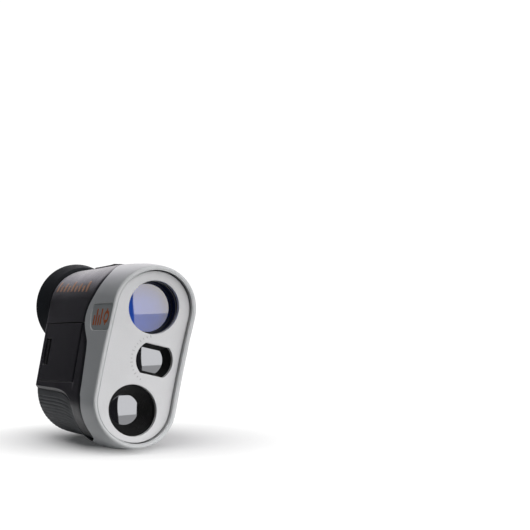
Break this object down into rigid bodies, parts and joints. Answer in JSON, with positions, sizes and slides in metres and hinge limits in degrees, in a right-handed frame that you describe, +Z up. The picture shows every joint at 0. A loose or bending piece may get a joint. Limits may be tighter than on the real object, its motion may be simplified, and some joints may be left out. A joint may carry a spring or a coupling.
{
  "type": "laser rangefinder",
  "caption": "Compact upright monocular laser rangefinder with stacked lens openings, top buttons, side battery door and a turning rubber eyecup.",
  "frame": {"origin": "middle of the bounding box at its bottom, under the instrument standing upright", "axes": "+Z up, lens face towards -Y, eyecup towards +Y, +X to the right seen from the lens side"},
  "size_m": [0.0394, 0.1005, 0.0809],
  "materials": {
    "shell_grey": "satin moulded",
    "plate_silver": "satin paint",
    "badge_grey": "fine satin with orange print",
    "body_black": "soft-touch coat",
    "grip_rubber": "ribbed rubber",
    "button_rubber": "matt rubber",
    "button_black": "satin",
    "switch_parts": "moulded",
    "board_green": "solder mask",
    "steel": "drawn",
    "tray_black": "moulded",
    "cell_wrap": "plastic sleeve",
    "spring_steel": "nickel plated",
    "contact_brass": "plated",
    "barrel_black": "matt black, light absorbing",
    "ring_black": "satin anodised",
    "coated_glass": "blue coated",
    "clear_glass": "coated",
    "diode_gold": "plated can",
    "display_glass": "display cell",
    "cup_rubber": "soft rubber",
    "seal_rubber": "nitrile"
  },
  "bodies": {
    "main_body": {"front_shell": "shell_grey", "face_plate": "plate_silver", "badge_plate_left": "badge_grey", "badge_plate_right": "badge_grey", "upper_housing": "body_black", "lower_housing": "body_black", "housing_gasket": "seal_rubber", "grip_overmould": "grip_rubber", "button_pad": "button_rubber", "power_switch": "switch_parts", "mode_switch": "switch_parts", "switch_board": "board_green", "door_hinge_pin": "steel", "battery_tray": "tray_black", "battery": "cell_wrap", "battery_spring": "spring_steel", "battery_contact": "contact_brass", "objective_barrel": "barrel_black", "objective_ring": "ring_black", "objective_lens": "coated_glass", "focus_lens": "clear_glass", "emitter_barrel": "barrel_black", "emitter_lens": "clear_glass", "laser_diode": "diode_gold", "receiver_barrel": "barrel_black", "receiver_lens": "clear_glass", "receiver_detector": "diode_gold", "lens_frame": "tray_black", "prism_block": "clear_glass", "lcd_display": "display_glass", "main_board": "board_green", "receiver_board": "board_green", "eyepiece_tube": "barrel_black", "field_lens": "clear_glass", "eye_lens": "clear_glass", "eyepiece_seal": "seal_rubber", "housing_screws": "steel", "lanyard_post": "steel"},
    "power_button_body": {"power_button": "button_black"},
    "mode_button_body": {"mode_button": "button_black"},
    "door_body": {"battery_door": "body_black"},
    "latch_body": {"door_latch": "button_black"},
    "eyecup_body": {"diopter_ring": "ring_black", "eyecup": "cup_rubber"}
  },
  "joints": [
    {"name": "power_press", "type": "slide", "parent": "main_body", "child": "power_button_body", "axis": [0, 0, -1], "range_m": [0, 0.0008], "stiffness_N_per_m": 500, "springref_m": -0.0006},
    {"name": "mode_press", "type": "slide", "parent": "main_body", "child": "mode_button_body", "axis": [0, 0, -1], "range_m": [0, 0.0008], "stiffness_N_per_m": 400, "springref_m": -0.0006},
    {"name": "door_hinge", "type": "hinge", "parent": "main_body", "child": "door_body", "pos_m": [-0.01685, -0.0173, 0.036], "axis": [0, 0.1097, 0.994], "range_deg": [0, 90]},
    {"name": "latch_slide", "type": "slide", "parent": "door_body", "child": "latch_body", "axis": [0, -1, 0], "range_m": [0, 0.0014], "stiffness_N_per_m": 150, "springref_m": -0.0008},
    {"name": "diopter_turn", "type": "hinge", "parent": "main_body", "child": "eyecup_body", "pos_m": [0, 0.04075, 0.0612], "axis": [0, 1, 0], "range_deg": [-60, 60]}
  ]
}
